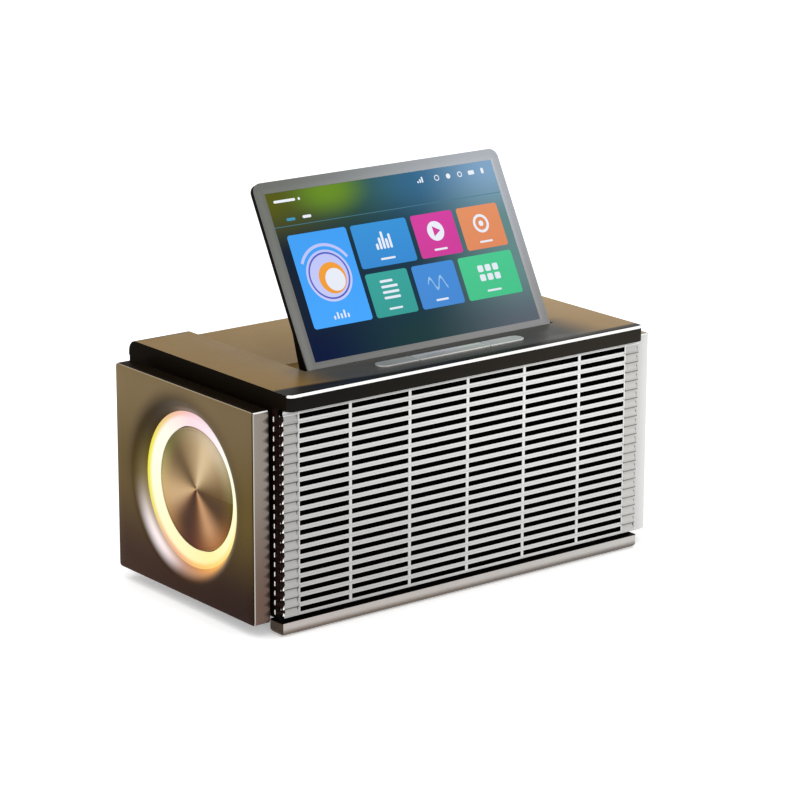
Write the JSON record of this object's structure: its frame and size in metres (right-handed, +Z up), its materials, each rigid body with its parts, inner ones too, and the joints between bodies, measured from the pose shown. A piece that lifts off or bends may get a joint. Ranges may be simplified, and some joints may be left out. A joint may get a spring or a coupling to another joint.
{
  "type": "karaoke speaker console",
  "caption": "Boxed karaoke loudspeaker with a folding touch screen in a well on top, louvred front grille, push keys, and a lit passive radiator on each side.",
  "frame": {"origin": "on the table, under the middle of the box", "axes": "+X to the right seen from the front, +Y towards the back, +Z up"},
  "size_m": [0.386, 0.21, 0.3149],
  "materials": {
    "body_dark": "satin",
    "baffle": "matte",
    "cloth": "woven",
    "grille": "satin",
    "cover": "satin",
    "gloss_black": "gloss",
    "rail": "satin",
    "rubber": "matte",
    "panel": "satin",
    "ring": "frosted",
    "pcb": "satin",
    "pcb_white": "satin",
    "frame_black": "satin",
    "disc": "spun brushed",
    "basket": "satin",
    "magnet": "matte",
    "cone": "matte",
    "dome": "satin",
    "key": "brushed",
    "steel": "satin",
    "shell": "satin",
    "bezel": "satin",
    "glass": "gloss",
    "display": "satin",
    "jack_metal": "satin",
    "plate": "anodised",
    "socket_black": "satin",
    "rocker": "gloss",
    "heatsink": "satin",
    "psu": "satin",
    "battery": "satin",
    "wire": "matte",
    "screw": "blackened"
  },
  "bodies": {
    "cabinet": {"cabinet_shell": "body_dark", "front_baffle": "baffle", "acoustic_cloth": "cloth", "grille": "grille", "top_cover": "cover", "fascia_strip": "gloss_black", "rear_cover": "body_dark", "front_foot_rail": "rail", "rear_foot_rail": "rail", "foot_pads": "rubber", "side_panel_left": "panel", "side_panel_right": "panel", "panel_spacers": "baffle", "light_ring_left": "ring", "light_ring_right": "ring", "led_board_left": "pcb_white", "led_board_right": "pcb_white", "radiator_frame_left": "frame_black", "radiator_frame_right": "frame_black", "radiator_surround_left": "rubber", "radiator_surround_right": "rubber", "woofer_basket_left": "basket", "woofer_basket_right": "basket", "woofer_magnet_left": "magnet", "woofer_magnet_right": "magnet", "woofer_surround_left": "rubber", "woofer_surround_right": "rubber", "tweeter_left": "dome", "tweeter_right": "dome", "key_board": "pcb", "hinge_brackets": "steel", "hinge_pins": "steel", "jack_plate": "plate", "power_plate": "plate", "microphone_sockets": "jack_metal", "aux_socket": "socket_black", "usb_socket": "jack_metal", "power_inlet": "socket_black", "rocker_frame": "socket_black", "main_board": "pcb", "heat_sink": "heatsink", "power_supply": "psu", "battery_pack": "battery", "internal_wiring": "wire", "housing_screws": "screw"},
    "screen": {"screen_rear_shell": "shell", "screen_bezel": "bezel", "screen_glass": "glass", "display_panel": "display", "screen_board": "pcb", "hinge_sleeves": "steel"},
    "volume_key": {"volume_key": "shell"},
    "screen_power_key": {"screen_power_key": "shell"},
    "key_left": {"key_left": "key"},
    "key_center": {"key_center": "key"},
    "key_right": {"key_right": "key"},
    "radiator_left": {"radiator_disc_left": "disc"},
    "radiator_right": {"radiator_disc_right": "disc"},
    "woofer_left": {"woofer_cone_left": "cone"},
    "woofer_right": {"woofer_cone_right": "cone"},
    "power_rocker": {"power_rocker": "rocker"}
  },
  "joints": [
    {"name": "screen_fold", "type": "hinge", "parent": "cabinet", "child": "screen", "pos_m": [0, -0.05243, 0.1805], "axis": [1, 0, 0], "range_deg": [-61.6, 0]},
    {"name": "volume_key_press", "type": "slide", "parent": "screen", "child": "volume_key", "axis": [-1, 0, 0], "range_m": [0, 0.0005], "stiffness_N_per_m": 400, "springref_m": -0.0006},
    {"name": "screen_power_key_press", "type": "slide", "parent": "screen", "child": "screen_power_key", "axis": [-1, 0, 0], "range_m": [0, 0.0005], "stiffness_N_per_m": 400, "springref_m": -0.0006},
    {"name": "key_left_press", "type": "slide", "parent": "cabinet", "child": "key_left", "axis": [0, 0, -1], "range_m": [0, 0.0008], "stiffness_N_per_m": 400, "springref_m": -0.0006},
    {"name": "key_center_press", "type": "slide", "parent": "cabinet", "child": "key_center", "axis": [0, 0, -1], "range_m": [0, 0.0008], "stiffness_N_per_m": 400, "springref_m": -0.0006},
    {"name": "key_right_press", "type": "slide", "parent": "cabinet", "child": "key_right", "axis": [0, 0, -1], "range_m": [0, 0.0008], "stiffness_N_per_m": 400, "springref_m": -0.0006},
    {"name": "radiator_left_stroke", "type": "slide", "parent": "cabinet", "child": "radiator_left", "axis": [-1, 0, 0], "range_m": [-0.003, 0.003], "stiffness_N_per_m": 2500, "deforming": ["radiator_surround_left"]},
    {"name": "radiator_right_stroke", "type": "slide", "parent": "cabinet", "child": "radiator_right", "axis": [1, 0, 0], "range_m": [-0.003, 0.003], "stiffness_N_per_m": 2500, "deforming": ["radiator_surround_right"]},
    {"name": "woofer_left_stroke", "type": "slide", "parent": "cabinet", "child": "woofer_left", "axis": [0, -1, 0], "range_m": [-0.003, 0.003], "stiffness_N_per_m": 2500, "deforming": ["woofer_surround_left"]},
    {"name": "woofer_right_stroke", "type": "slide", "parent": "cabinet", "child": "woofer_right", "axis": [0, -1, 0], "range_m": [-0.003, 0.003], "stiffness_N_per_m": 2500, "deforming": ["woofer_surround_right"]},
    {"name": "power_rocker_tilt", "type": "hinge", "parent": "cabinet", "child": "power_rocker", "pos_m": [0.036, 0.0875, 0.048], "axis": [1, 0, 0], "range_deg": [-14, 0]}
  ]
}
